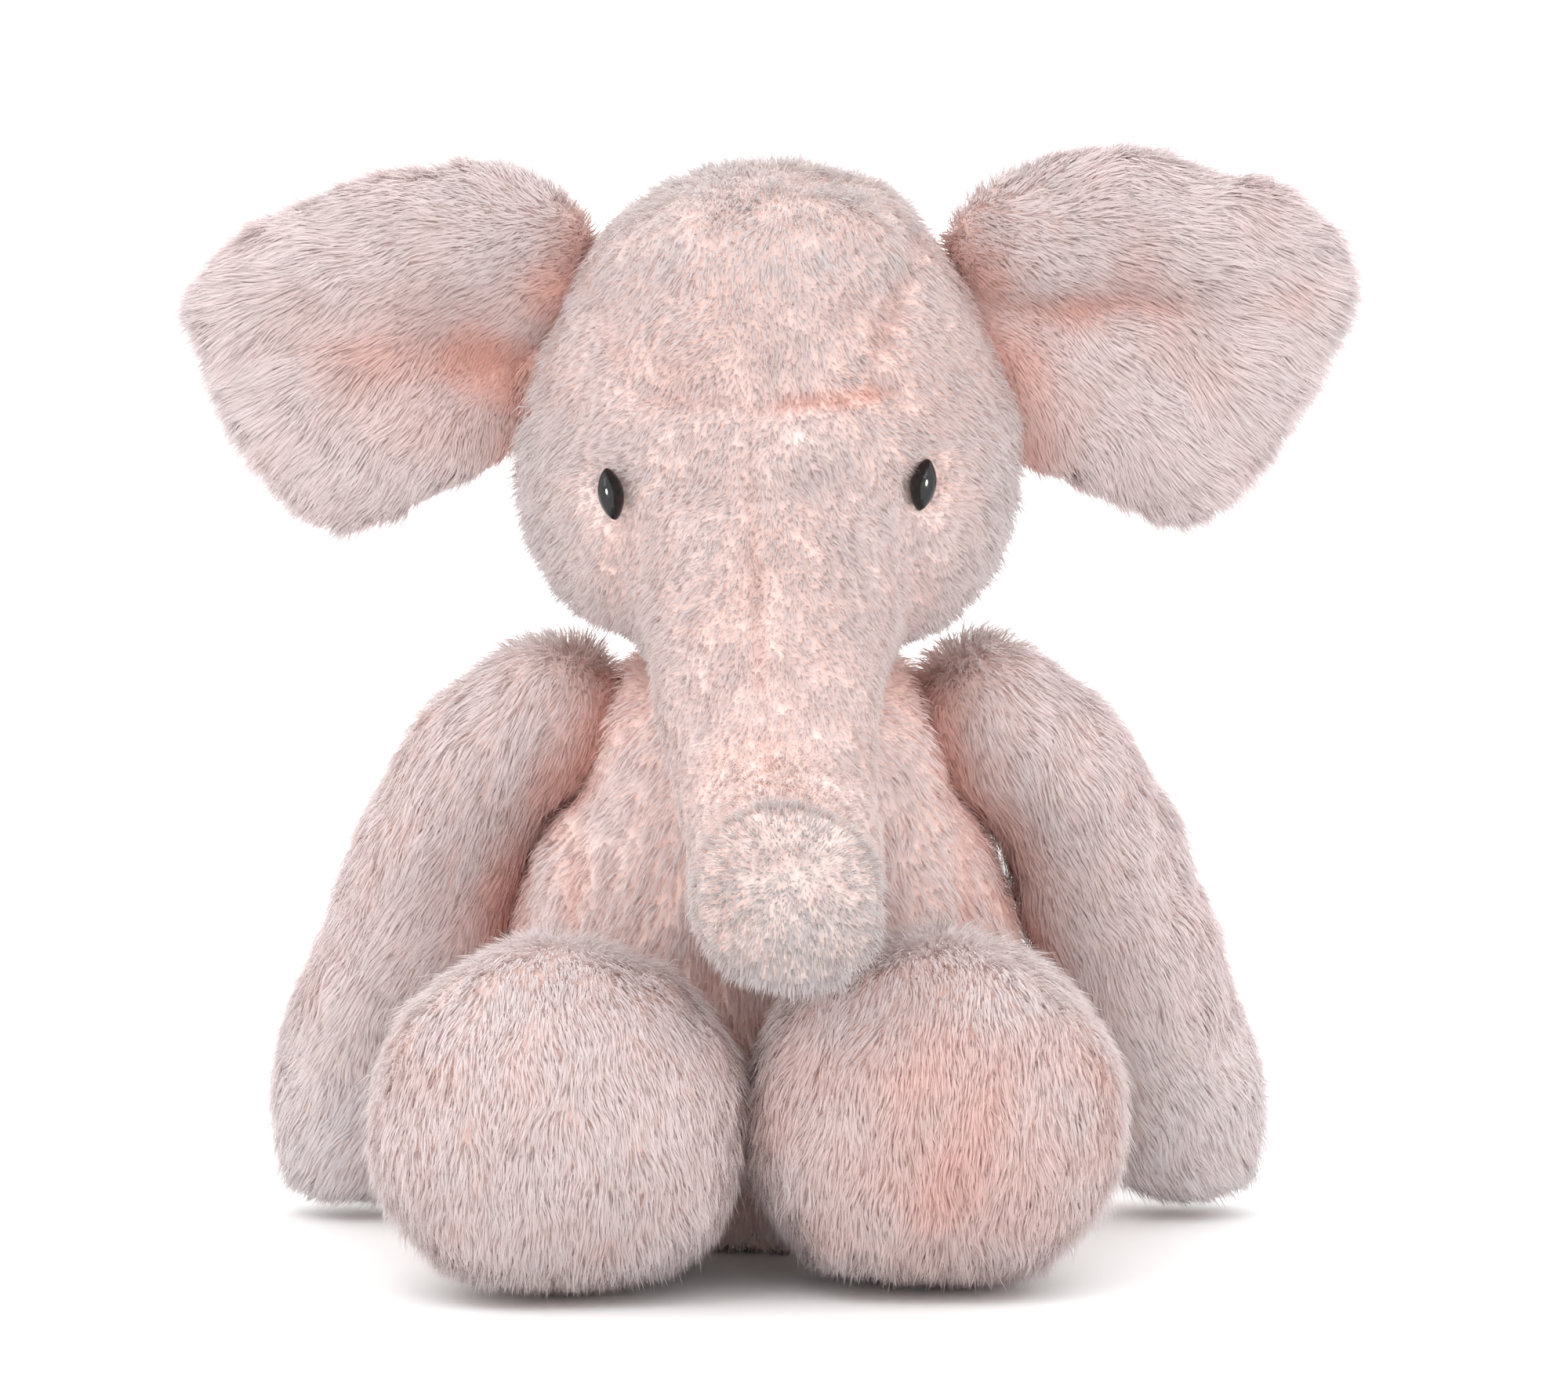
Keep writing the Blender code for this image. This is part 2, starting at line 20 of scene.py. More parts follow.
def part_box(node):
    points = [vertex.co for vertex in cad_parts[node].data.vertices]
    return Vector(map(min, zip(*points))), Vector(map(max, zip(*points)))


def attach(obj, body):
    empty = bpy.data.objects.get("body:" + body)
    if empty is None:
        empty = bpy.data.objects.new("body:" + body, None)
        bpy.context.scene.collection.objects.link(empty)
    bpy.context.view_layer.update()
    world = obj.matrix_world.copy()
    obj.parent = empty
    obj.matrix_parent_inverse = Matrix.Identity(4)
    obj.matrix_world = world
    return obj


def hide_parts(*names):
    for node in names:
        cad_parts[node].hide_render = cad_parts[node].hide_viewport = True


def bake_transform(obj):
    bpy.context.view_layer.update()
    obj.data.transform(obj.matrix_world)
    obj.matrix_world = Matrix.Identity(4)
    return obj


MM = 0.001
SEED = 20

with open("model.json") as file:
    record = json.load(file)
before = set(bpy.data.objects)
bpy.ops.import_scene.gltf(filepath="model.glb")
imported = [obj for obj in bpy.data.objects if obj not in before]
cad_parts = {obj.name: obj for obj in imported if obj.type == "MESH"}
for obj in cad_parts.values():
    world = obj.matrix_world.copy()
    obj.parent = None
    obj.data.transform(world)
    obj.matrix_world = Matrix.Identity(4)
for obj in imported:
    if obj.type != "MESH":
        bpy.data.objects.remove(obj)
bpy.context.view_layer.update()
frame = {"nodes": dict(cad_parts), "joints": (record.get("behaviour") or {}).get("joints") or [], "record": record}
bodies = frame["record"]["behaviour"]["bodies"]
joints = {joint["name"]: np.array(joint["pos_m"]) for joint in frame["joints"]}

# Skins.
VOXEL = 3.0 * MM
TAIL_VOXEL = 2.0 * MM
PUFF_CAP = 1.6 * MM  # the farthest a skin's point may blow out
PUFF_FRAMES = 20
PUFF_PRESSURE = 4.0
SKIN_WOBBLE = 0.7 * MM  # how far the stuffing's unevenness moves a skin
SKIN_WOBBLE_SIZE = 32 * MM
TRUNK_BLEND_START = (0, -0.056, 0.157)  # the face's pile changes into the trunk's between these
TRUNK_BLEND_END = (0, -0.080, 0.124)

# The bead eyes.
EYE_LOOKS = (0.554, -0.833, 0)  # the right one's; the left one mirrors it
EYE_FRAME_RADIUS = 5.7 * MM  # the CAD bead's
EYE_HALF_WIDTH = 2.5 * MM
EYE_HALF_HEIGHT = 5.7 * MM
EYE_DOME = 3.4 * MM
EYE_TAPER = 0.28  # how much narrower than round it is at its ends
EYE_LEAN = 12  # degrees

# Stuffing that rounds the bridge of the nose: each lump's middle and half sizes in millimetres.
NOSE_LUMPS = [
    ((0, -49, 178), (27, 20.5, 17)),
    ((0, -50, 162), (30, 23.5, 20)),
    ((0, -52, 148), (29, 26, 20)),
]

# Seams, creases and folds: lines of (x, z) points in millimetres, as seen from the front.
BROW = [(-27, 191.5), (0, 191), (26, 193)]
# Part of the brow's crease that gets a line of painted shade.
BROW_PAINTED_SHADE = [(4, 191.5), (22, 193)]
MIDDLE_SEAM = [(-4, 188), (-3, 160), (-2, 140), (0, 115)]
RIGHT_GUSSET_SEAM = [(32, 224), (26, 208), (20, 197), (26, 193)]
LEFT_GUSSET_SEAM = [(-36, 213), (-33, 204), (-28, 193)]
TRUNK_EDGE = [(33, 163), (32, 148), (29, 132)]  # the right one; the left one mirrors it
BELLY_SEAM = [(33, 128), (38, 100), (41, 70), (41, 30)]  # likewise
LEFT_EAR_FOLD = [(-48, 189), (-58, 192), (-78, 198)]
LEFT_EAR_SWELL = [(-60, 222), (-100, 214)]
RIGHT_EAR_FOLD = [(46, 205), (70, 206), (92, 207)]
RIGHT_EAR_UPPER_SWELL = [(58, 222), (100, 222)]
RIGHT_EAR_LOWER_SWELL = [(62, 185), (84, 178)]

# The pile.
FLOOR_GAP = 0.2 * MM  # nothing soft goes lower than this
BLADES_A_PIECE = 62000
BLADE_ROOT_DEPTH = 0.4 * MM  # how far a blade's root is below the skin
BLADE_BEND = 0.55  # how far up a blade's colours its bend is, from 0 at the root to 1 at the tip
STRAY = 0.17  # how unevenly the blades point
SHADES = 6
TINTS = 8
PALES = 3
# How many blades each coat has, and their width and tuft size in millimetres.
PILES = {
    "torso": (60000, 0.40, 2.6),
    "face": (122000, 0.32, 1.8),
    "tail": (5000, 0.35, 2.0),
    "left_ear": (60000, 0.34, 2.6),
    "right_ear": (60000, 0.34, 2.6),
    "left_arm": (42000, 0.38, 2.8),
    "right_arm": (42000, 0.38, 2.8),
    "left_leg": (62000, 0.38, 2.6),
    "right_leg": (62000, 0.38, 2.6),
}
FACE_PAINTED_SHADE = 0.92  # how much darker the face's short pile is painted: painted shade, as the face catches more light

# Where two skins meet.
MEET_GAP = 0.5 * MM
MEET_REACH = 16 * MM
MEET_PAINTED_SHADE = 0.8

# Colours, linear.
TIP_PINK = (0.93, 0.855, 0.855)
ROOT_PINK = (0.87, 0.74, 0.71)
PEACH = (0.93, 0.60, 0.52)
PALE = (0.92, 0.885, 0.89)
GREY_PINK = (0.86, 0.79, 0.80)
BACKING = (0.86, 0.64, 0.58)
BEAD_BLACK = (0.004, 0.004, 0.005)
BEAD_BROWN = (0.012, 0.009, 0.008)
FLOOR_GREY = (0.93, 0.93, 0.93)
FLOOR_WHITE = (0.95, 0.95, 0.95)

# The camera and the lights.
CAMERA_UP = math.radians(8.5)
CAMERA_AWAY = 6.0
CAMERA_LENS = 636
LOOK_AT = (3.4 * MM, -40 * MM, 122.9 * MM)
SKY_STRENGTH = 1.62
FLOOR_HALF_SIZE = 4.0
LIGHTS_AIM = (0, 0, 0.1)
LIGHTS = {  # place, size and power
    "key_light": ((-0.6, -1.0, 1.4), 0.9, 3.5),
    "front_light": ((0.2, -2.6, 0.3), 1.0, 2),
    "catch_light": ((-0.15, -1.9, 0.75), 0.7, 60),
}


def rows_of(vector):
    return np.array(vector, float)


def millimetres(*values):
    return np.array(values, float) * MM


def mirrored(line, side):
    """A line of (x, z) points, mirrored where the side is -1."""
    return [(side * x, z) for x, z in line]


def unit(rows):
    return rows / np.maximum(np.linalg.norm(rows, axis=-1, keepdims=True), 1e-9)


def smoothstep(low, high, values):
    t = np.clip((values - low) / (high - low), 0, 1)
    return t * t * (3 - 2 * t)


def bump(distance, width):
    """A round bump that is 1 at no distance and fades over a width."""
    return np.exp(-((distance / width) ** 2))


def line_distance(points, line):
    """Each point's distance to a line of straight pieces."""
    best = np.full(len(points), np.inf)
    for start, end in zip(line, line[1:]):
        way = end - start
        t = np.clip((points - start) @ way / (way @ way), 0, 1)
        best = np.minimum(best, np.linalg.norm(points - start - t[:, None] * way, axis=1))
    return best


def waves(points, size, seed):
    """Smooth noise between about -1 and 1 at points, with features of a size."""
    draw = np.random.default_rng(seed)
    total = np.zeros(len(points))
    for _ in range(7):
        way = unit(draw.normal(size=3)) * draw.uniform(0.6, 1.5) * 2 * math.pi / size
        total += np.sin(points @ way + draw.uniform(0, 2 * math.pi))
    return total / 2.6


# ---------------------------------------------------------------- materials


def new_material(name):
    material = bpy.data.materials.new(name)
    material.use_nodes = True
    tree = material.node_tree
    tree.nodes.clear()
    return material, tree


def add_node(tree, kind, **values):
    node = tree.nodes.new(kind)
    for key, value in values.items():
        setattr(node, key, value)
    return node


def show(tree, shader):
    """Makes a shader what its material shows."""
    end = add_node(tree, "ShaderNodeOutputMaterial")
    tree.links.new(shader.outputs[0], end.inputs["Surface"])


def mix_colour(tree, factor, first, second):
    """A colour mix whose inputs are sockets or constants."""
    node = add_node(tree, "ShaderNodeMix", data_type="RGBA")
    sockets = (node.inputs[0], node.inputs[6], node.inputs[7])
    for socket, value in zip(sockets, (factor, first, second)):
        if isinstance(value, bpy.types.NodeSocket):
            tree.links.new(value, socket)
        elif isinstance(value, tuple):
            socket.default_value = (*value, 1)
        else:
            socket.default_value = value
    return node.outputs[2]


def scaled(tree, socket, low, high, to_low=0.0, to_high=1.0):
    """A value smoothly taken from one range to another, and held at its ends."""
    node = add_node(tree, "ShaderNodeMapRange", interpolation_type="SMOOTHSTEP")
    tree.links.new(socket, node.inputs[0])
    for slot, value in zip(node.inputs[1:5], (low, high, to_low, to_high)):
        slot.default_value = value
    return node.outputs[0]


def noise_value(tree, scale, detail=3.0):
    place = add_node(tree, "ShaderNodeTexCoord")
    noise = add_node(tree, "ShaderNodeTexNoise")
    noise.inputs["Scale"].default_value = scale
    noise.inputs["Detail"].default_value = detail
    tree.links.new(place.outputs["Object"], noise.inputs["Vector"])
    return noise.outputs["Fac"]


def pile_material(name, depth):
    """Fibres: deeper pink at the root, pale at the tip, with grey-pink patches; peach by tint, which is a random
    tone and painted shade in folds, dents and between parts; whiter by paleness, partly painted light.
    """
    material, tree = new_material(name)
    colours = (ROOT_PINK, TIP_PINK, GREY_PINK, PEACH, PALE)
    # Each colour times depth: below 1 this paints shade, for the face's pile.
    root_pink, tip_pink, grey_pink, peach, pale_pink = (
        tuple(depth * value for value in colour) for colour in colours
    )
    data = add_node(tree, "ShaderNodeAttribute", attribute_name="pile")
    split = add_node(tree, "ShaderNodeSeparateColor")
    tree.links.new(data.outputs["Color"], split.inputs[0])
    along, shade, tint = split.outputs
    pale = data.outputs["Alpha"]
    colour = mix_colour(tree, scaled(tree, along, 0.0, 0.9), root_pink, tip_pink)
    patches = scaled(tree, noise_value(tree, 60), 0.35, 0.85, 0.0, 0.45)
    colour = mix_colour(tree, patches, colour, grey_pink)
    # Peach by tint: painted shade in folds, dents and between parts, on a random tone.
    colour = mix_colour(tree, scaled(tree, tint, 0.0, 1.0, 0.0, 0.95), colour, peach)
    colour = mix_colour(tree, scaled(tree, pale, 0.0, 1.0, 0.0, 0.9), colour, pale_pink)
    darker = mix_colour(tree, 0.30, colour, BACKING)
    colour = mix_colour(tree, scaled(tree, shade, 0.0, 0.6, 0.5, 0.0), colour, darker)
    shader = add_node(tree, "ShaderNodeBsdfPrincipled")
    shader.inputs["Roughness"].default_value = 0.8
    shader.inputs["Specular IOR Level"].default_value = 0.1
    shader.inputs["Sheen Weight"].default_value = 0.3
    shader.inputs["Sheen Roughness"].default_value = 0.5
    tree.links.new(colour, shader.inputs["Base Color"])
    through = add_node(tree, "ShaderNodeBsdfTranslucent")
    tree.links.new(colour, through.inputs["Color"])
    both = add_node(tree, "ShaderNodeMixShader")
    both.inputs[0].default_value = 0.5
    tree.links.new(shader.outputs[0], both.inputs[1])
    tree.links.new(through.outputs[0], both.inputs[2])
    show(tree, both)
    return material


def backing_material():
    """The knitted backing under the pile."""
    material, tree = new_material("plush_backing")
    knit = noise_value(tree, 900, 2.0)
    patches = noise_value(tree, 40)
    colour = mix_colour(tree, scaled(tree, patches, 0.35, 0.7), BACKING, ROOT_PINK)
    colour = mix_colour(tree, scaled(tree, knit, 0.4, 0.8, 0.0, 0.5), colour, PEACH)
    shader = add_node(tree, "ShaderNodeBsdfPrincipled")
    shader.inputs["Roughness"].default_value = 0.95
    shader.inputs["Specular IOR Level"].default_value = 0.1
    tree.links.new(colour, shader.inputs["Base Color"])
    lift = add_node(tree, "ShaderNodeBump")
    lift.inputs["Strength"].default_value = 0.4
    lift.inputs["Distance"].default_value = 0.0003
    tree.links.new(knit, lift.inputs["Height"])
    tree.links.new(lift.outputs[0], shader.inputs["Normal"])
    show(tree, shader)
    return material


def bead_material():
    """Polished black plastic, a little brown in its depth, with fine handling marks."""
    material, tree = new_material("polished_bead")
    marks = noise_value(tree, 420, 4.0)
    colour = mix_colour(tree, scaled(tree, marks, 0.4, 0.8), BEAD_BLACK, BEAD_BROWN)
    shader = add_node(tree, "ShaderNodeBsdfPrincipled")
    shader.inputs["Specular IOR Level"].default_value = 0.5
    tree.links.new(colour, shader.inputs["Base Color"])
    tree.links.new(scaled(tree, marks, 0.3, 0.8, 0.05, 0.16), shader.inputs["Roughness"])
    show(tree, shader)
    return material


def floor_material():
    material, tree = new_material("pale_floor")
    grain = noise_value(tree, 30)
    colour = mix_colour(tree, scaled(tree, grain, 0.3, 0.7), FLOOR_GREY, FLOOR_WHITE)
    shader = add_node(tree, "ShaderNodeBsdfPrincipled")
    shader.inputs["Roughness"].default_value = 0.9
    shader.inputs["Specular IOR Level"].default_value = 0.0
    tree.links.new(colour, shader.inputs["Base Color"])
    show(tree, shader)
    return material


# ---------------------------------------------------------------- skins


def link(name, mesh, material):
    piece = bpy.data.objects.new(name, mesh)
    bpy.context.scene.collection.objects.link(piece)
    mesh.materials.clear()
    mesh.materials.append(material)
    return piece


def evaluated_mesh(piece):
    graph = bpy.context.evaluated_depsgraph_get()
    return bpy.data.meshes.new_from_object(piece.evaluated_get(graph))


def take_modifiers(piece):
    """Makes the modifiers' result the piece's own mesh."""
    mesh = evaluated_mesh(piece)
    piece.modifiers.clear()
    old = piece.data
    piece.data = mesh
    bpy.data.meshes.remove(old)


def keep_largest(mesh):
    """Drops every loose shell of a mesh but the one with the most corners."""
    bm = bmesh.new()
    bm.from_mesh(mesh)
    left = set(bm.verts)
    shells = []
    while left:
        shell = {left.pop()}
        front = list(shell)
        while front:
            for edge in front.pop().link_edges:
                for other in edge.verts:
                    if other in left:
                        left.discard(other)
                        shell.add(other)
                        front.append(other)
        shells.append(shell)
    shells.sort(key=len)
    for shell in shells[:-1]:
        bmesh.ops.delete(bm, geom=list(shell), context="VERTS")
    bm.to_mesh(mesh)
    bm.free()


def read_points(mesh):
    points = np.empty(len(mesh.vertices) * 3)
    mesh.vertices.foreach_get("co", points)
    return points.reshape(-1, 3)


def puff(piece):
    """Blows the skin up a little from inside, so that it crowns like stuffed fabric."""
    scene = bpy.context.scene
    before = read_points(piece.data)
    cloth = piece.modifiers.new("puff", "CLOTH")
    cloth.settings.quality = 4
    cloth.settings.mass = 0.1
    cloth.settings.use_pressure = True
    cloth.settings.uniform_pressure_force = PUFF_PRESSURE
    cloth.settings.effector_weights.gravity = 0
    cloth.collision_settings.use_collision = False
    cloth.point_cache.frame_start = 1
    cloth.point_cache.frame_end = PUFF_FRAMES
    for step in range(1, PUFF_FRAMES + 1):
        scene.frame_set(step)
    blown = evaluated_mesh(piece)
    travel = read_points(blown) - before
    bpy.data.meshes.remove(blown)
    piece.modifiers.clear()
    scene.frame_set(1)
    length = np.linalg.norm(travel, axis=1, keepdims=True)
    travel *= PUFF_CAP * np.tanh(length / PUFF_CAP) / np.maximum(length, 1e-9)
    piece.data.vertices.foreach_set("co", (before + travel).ravel())


def make_skin(name, nodes, lumps, voxel, material):
    """One soft closed form over panels, stuffing and extra lumps of stuffing."""
    bm = bmesh.new()
    for node in nodes:
        bm.from_mesh(frame["nodes"][node].data)
    for centre, radii in lumps:
        place = Matrix.Translation(millimetres(*centre)) @ Matrix.Diagonal((*millimetres(*radii), 1))
        bmesh.ops.create_icosphere(bm, subdivisions=3, radius=1, matrix=place)
    mesh = bpy.data.meshes.new(name)
    bm.to_mesh(mesh)
    bm.free()
    piece = link(name, mesh, material)
    remesh = piece.modifiers.new("remesh", "REMESH")
    remesh.mode = "VOXEL"
    remesh.voxel_size = voxel
    take_modifiers(piece)
    keep_largest(piece.data)
    smooth = piece.modifiers.new("smooth", "SMOOTH")
    smooth.iterations = 7
    smooth.factor = 0.5
    take_modifiers(piece)
    puff(piece)
    soften = piece.modifiers.new("soften", "SUBSURF")
    soften.levels = 1
    soften.render_levels = 1
    take_modifiers(piece)
    piece.data.shade_smooth()
    piece.data.materials.clear()
    piece.data.materials.append(material)
    return piece


class Coat:
    """A skin's points with what the pile needs at each one."""

    def __init__(self, piece):
        self.piece = piece
        self.co = read_points(piece.data)
        self.read_normals()
        count = len(self.co)
        self.length = np.full(count, 6 * MM)
        self.comb = np.tile([0.0, 0.0, -1.0], (count, 1))  # the way the pile is laid over
        self.lift = np.full(count, 0.6)  # how much it stands up
        self.tint = np.zeros(count)  # how peach it is: painted shade in folds, dents and between parts, and a painted glow on the brow
        self.pale = np.zeros(count)  # how white it is, partly painted light where the pile faces up
        self.keep = np.ones(count)  # how thickly it grows

    def read_normals(self):
        mesh = self.piece.data
        mesh.update()
        normal = np.empty(len(mesh.vertices) * 3)
        mesh.vertex_normals.foreach_get("vector", normal)
        self.normal = normal.reshape(-1, 3)

    def push(self, amount):
        """Moves the skin along its normals, outwards where the amount is above zero."""
        self.co += self.normal * amount[:, None]
        self.co[:, 2] = np.maximum(self.co[:, 2], FLOOR_GAP)
        self.piece.data.vertices.foreach_set("co", self.co.ravel())
        self.read_normals()

    def front_distance(self, line):
        """How far each point is from a line, and a metre where the skin faces backwards."""
        flat = self.co[:, [0, 2]]
        distance = line_distance(flat, [millimetres(*spot) for spot in line])
        return np.where(self.normal[:, 1] < 0.15, distance, 1.0)

    def groove(self, close, depth, tint, shorten):
        """A sewn seam or a fold: pressed in, its pile shorter and tinted peach as painted shade in the crease."""
        self.push(-depth * close)
        # The peach here is painted shade in the crease.
        self.tint = np.maximum(self.tint, tint * close)
        self.length = self.length * (1 - shorten * close)

    def settle_on_floor(self):
        """Near the floor the pile is short, and it isn't combed down."""
        high = smoothstep(0, 14 * MM, self.co[:, 2])
        self.length = self.length * (0.35 + 0.65 * high)
        self.comb[:, 2] *= high

    def meet(self, tree):
        """Where another skin comes close: no pile between the two, and shorter pile around, tinted peach as
        painted shade.
        """
        for i, spot in enumerate(self.co):
            place, normal, _, distance = tree.find_nearest(Vector(spot), MEET_REACH)
            if place is None:
                continue
            inside = (Vector(spot) - place).dot(normal) < 0
            near = 1.0 if inside else 1 - distance / MEET_REACH
            if inside or distance < MEET_GAP:
                self.keep[i] = 0.0
            self.length[i] *= 1 - 0.3 * near
            # Peach near the other skin: painted shade between the two.
            self.tint[i] = max(self.tint[i], MEET_PAINTED_SHADE * near)


def tree_of(piece):
    mesh = piece.data
    corners = [vert.co for vert in mesh.vertices]
    return BVHTree.FromPolygons(corners, [tuple(face.vertices) for face in mesh.polygons])


# ---------------------------------------------------------------- pile


def levels(values, count):
    """Which of a number of equal steps each value from 0 to 1 is in."""
    return np.minimum((values * count).astype(int), count - 1)


def scatter(coat, draw, count):
    """Random places on a coat: each one's three corners and its share of them."""
    mesh = coat.piece.data
    mesh.calc_loop_triangles()
    corners = np.empty(len(mesh.loop_triangles) * 3, np.int32)
    mesh.loop_triangles.foreach_get("vertices", corners)
    corners = corners.reshape(-1, 3)
    first, second, third = (coat.co[corners[:, i]] for i in range(3))
    area = np.linalg.norm(np.cross(second - first, third - first), axis=1)
    area *= coat.keep[corners].mean(axis=1)
    pick = np.searchsorted(np.cumsum(area), draw.random(count) * area.sum())
    pick = corners[np.minimum(pick, len(corners) - 1)]
    across = np.sqrt(draw.random(count))
    up = draw.random(count)
    share = np.stack([1 - across, across * (1 - up), across * up], axis=1)
    return pick, share, area.sum() / 2


def grow_pile(name, coat, count, width, material, seed, clump):
    """Blades of pile at random places all over a coat, gathered into small tufts.

    Each blade rises from its root along a heading, bends at its middle and settles towards its tip.
    """
    draw = np.random.default_rng(SEED + seed)
    pick, share, area = scatter(coat, draw, count)

    def read(values):
        if values.ndim == 1:
            return (values[pick] * share).sum(axis=1)
        return (values[pick] * share[:, :, None]).sum(axis=1)

    # Where each blade is rooted, and the way it lies.
    root = read(coat.co)
    normal = unit(read(coat.normal))
    comb = read(coat.comb)
    comb -= normal * (comb * normal).sum(axis=1, keepdims=True)
    comb /= np.maximum(1.0, np.linalg.norm(comb, axis=1, keepdims=True))
    swirl = np.cross(normal, comb) * waves(root, 15 * MM, seed + 1)[:, None] * 0.3
    lift = read(coat.lift)[:, None] * (1 + 0.2 * waves(root, 10 * MM, seed + 2)[:, None])
    stray = draw.normal(size=(count, 3)) * STRAY
    heading = unit(normal * lift + comb * 0.9 + swirl + stray)
    # How long it is, and where that puts its middle and its tip.
    length = read(coat.length) * draw.uniform(0.65, 1.1, count)
    length *= 1 + 0.10 * waves(root, 12 * MM, seed + 3)
    length *= np.where(draw.random(count) < 0.07, 1.3, 1.0)
    reach = length[:, None] * 0.5
    settle = unit(heading + comb * 0.4 - normal * 0.28 + np.array([0, 0, -0.10]))
    middle = root + heading * reach
    tip = middle + settle * reach
    # Blades near each other lean together into a tuft.
    tufts = max(8, int(area / clump**2))
    tree = kdtree.KDTree(tufts)
    for i in range(tufts):
        tree.insert(root[i], i)
    tree.balance()
    owner = np.array([tree.find(spot)[1] for spot in root])
    gather = draw.uniform(0.05, 0.42, count)[:, None]
    tip += (tip[owner] - tip) * gather
    middle += (middle[owner] - middle) * gather * 0.3
    root = root - normal * BLADE_ROOT_DEPTH
    for rows in (root, middle, tip):
        rows[:, 2] = np.maximum(rows[:, 2], FLOOR_GAP)
    # Its width, the way it is shaded and the numbers that its colour comes from.
    side = unit(unit(np.cross(heading, normal)) + draw.normal(size=(count, 3)) * 0.2)
    side = side * (width * draw.uniform(0.7, 1.2, count)[:, None] / 2)
    bend = side * 0.8
    points = np.stack([root - side, root + side, middle + bend, middle - bend, tip], axis=1)
    normals = unit(normal + heading * 0.35)
    shade = 0.6 * draw.random(count) + 0.4 * draw.random(count)[owner]
    tint = np.clip(read(coat.tint) + 0.10 * waves(root, 20 * MM, seed + 4), 0, 1)
    pale = np.clip(read(coat.pale), 0, 1)
    pieces = []
    for start in range(0, count, BLADES_A_PIECE):
        part = slice(start, start + BLADES_A_PIECE)
        label = f"{name}_{len(pieces) + 1}"
        facts = (shade[part], tint[part], pale[part])
        pieces.append(blade_mesh(label, points[part], normals[part], facts, material))
    return pieces


def blade_mesh(name, points, normals, facts, material):
    """The blades as one mesh: a quad and a triangle each.

    Blades of the same shade, tint and paleness share a column of the UV square, root to tip.
    """
    count = len(points)
    mesh = bpy.data.meshes.new(name)
    mesh.vertices.add(count * 5)
    mesh.vertices.foreach_set("co", points.astype(np.float32).ravel())
    order = np.array([0, 1, 2, 3, 3, 2, 4])
    loops = (np.arange(count)[:, None] * 5 + order).ravel()
    mesh.loops.add(len(loops))
    mesh.loops.foreach_set("vertex_index", loops.astype(np.int32))
    starts = (np.arange(count)[:, None] * 7 + np.array([0, 4])).ravel()
    mesh.polygons.add(count * 2)
    mesh.polygons.foreach_set("loop_start", starts.astype(np.int32))
    shade, tint, pale = facts
    column = (levels(pale, PALES) * TINTS + levels(tint, TINTS)) * SHADES + levels(shade, SHADES)
    across = np.array([0.1, 0.9, 0.9, 0.1, 0.5])[order]
    up = np.array([0.03, 0.03, BLADE_BEND, BLADE_BEND, 0.97])[order]
    spread = np.empty((count, len(order), 2), np.float32)
    spread[:, :, 0] = (column[:, None] + across) / (SHADES * TINTS * PALES)
    spread[:, :, 1] = up
    uv = mesh.uv_layers.new(name="OFBake")
    uv.data.foreach_set("uv", spread.ravel())
    mesh.update(calc_edges=True)
    mesh.shade_smooth()
    data = np.empty((count, 5, 4), np.float32)
    data[:, :, 0] = [0.0, 0.0, BLADE_BEND, BLADE_BEND, 1.0]
    for place, fact in enumerate(facts, 1):
        data[:, :, place] = fact[:, None]
    pile = mesh.attributes.new("pile", "FLOAT_COLOR", "POINT")
    pile.data.foreach_set("color", data.ravel())
    mesh.normals_split_custom_set_from_vertices(np.repeat(normals, 5, axis=0).tolist())
    return link(name, mesh, material)


# ---------------------------------------------------------------- the toy's coats


def away_from(coat, spot, gather=30 * MM):
    """The way from a spot in millimetres to each point, nearly a unit long beyond the gather."""
    way = coat.co - millimetres(*spot)
    return way / (np.linalg.norm(way, axis=1, keepdims=True) + gather / 3)


def coat_torso(coat):
    """Combed down and outwards, with a seam down each side of the belly."""
    _, y, z = coat.co.T
    coat.length[:] = 6.5 * MM
    coat.comb = away_from(coat, (0, -20, 130)) * (1, 0.5, 1) + np.array([0, 0, -0.3])
    for side in (-1, 1):
        seam = coat.front_distance(mirrored(BELLY_SEAM, side))
        coat.groove(bump(seam, 2.6 * MM), 1.2 * MM, 0.45, 0.2)
    flank = smoothstep(0.4, 0.9, abs(coat.normal[:, 0])) * bump(z - 88 * MM, 24 * MM)
    coat.push(2.6 * MM * flank)
    # Peach low on the front, under the trunk and between the legs: painted shade.
    low = bump(z - 40 * MM, 34 * MM) * smoothstep(-20 * MM, -42 * MM, y)
    coat.tint = np.maximum(coat.tint, 0.45 * low)


